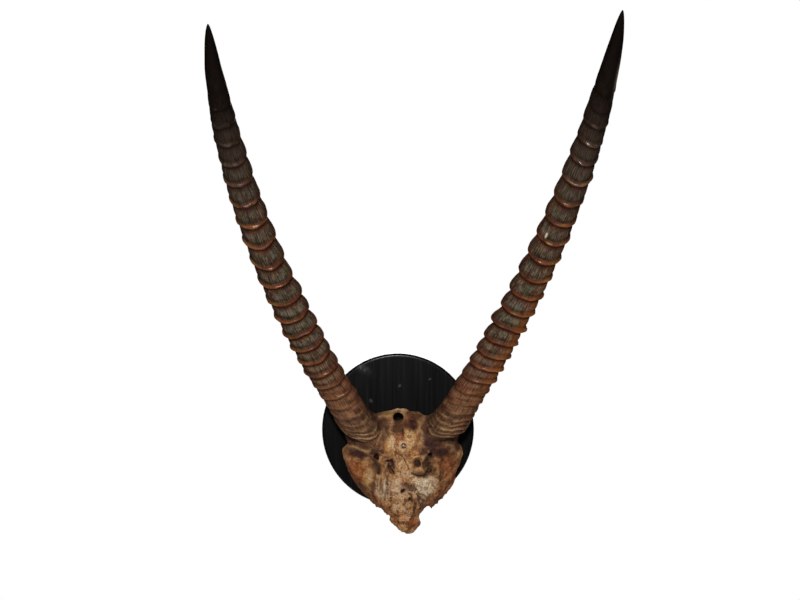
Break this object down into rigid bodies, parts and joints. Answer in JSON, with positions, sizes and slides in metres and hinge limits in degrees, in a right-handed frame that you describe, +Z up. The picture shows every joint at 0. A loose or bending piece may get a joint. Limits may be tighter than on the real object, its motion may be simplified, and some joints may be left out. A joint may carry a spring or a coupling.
{
  "type": "pair of ringed antelope horns on a skull cap",
  "caption": "Long ringed antelope horns spreading in a V from a sawn skull cap, mounted on a round black wooden board to hang on a wall.",
  "frame": {"origin": "centre of the board's flat back, on the wall", "axes": "+Z up, along the height; +Y into the wall, out of the board's back; +X to the right as seen from the room"},
  "size_m": [0.4591, 0.2193, 0.5917],
  "materials": {
    "ebonised_wood": "satin",
    "dry_bone": "matte",
    "horn_keratin": "satin",
    "tarnished_steel": "satin",
    "zinc_plated_steel": "satin"
  },
  "bodies": {
    "root": {"board": "ebonised_wood", "skull": "dry_bone", "horn_left": "horn_keratin", "horn_right": "horn_keratin", "forehead_screw": "tarnished_steel", "skull_screw_left": "tarnished_steel", "skull_screw_right": "tarnished_steel", "hanger_plate": "zinc_plated_steel", "hanger_screw_upper": "zinc_plated_steel", "hanger_screw_lower": "zinc_plated_steel"}
  },
  "joints": []
}
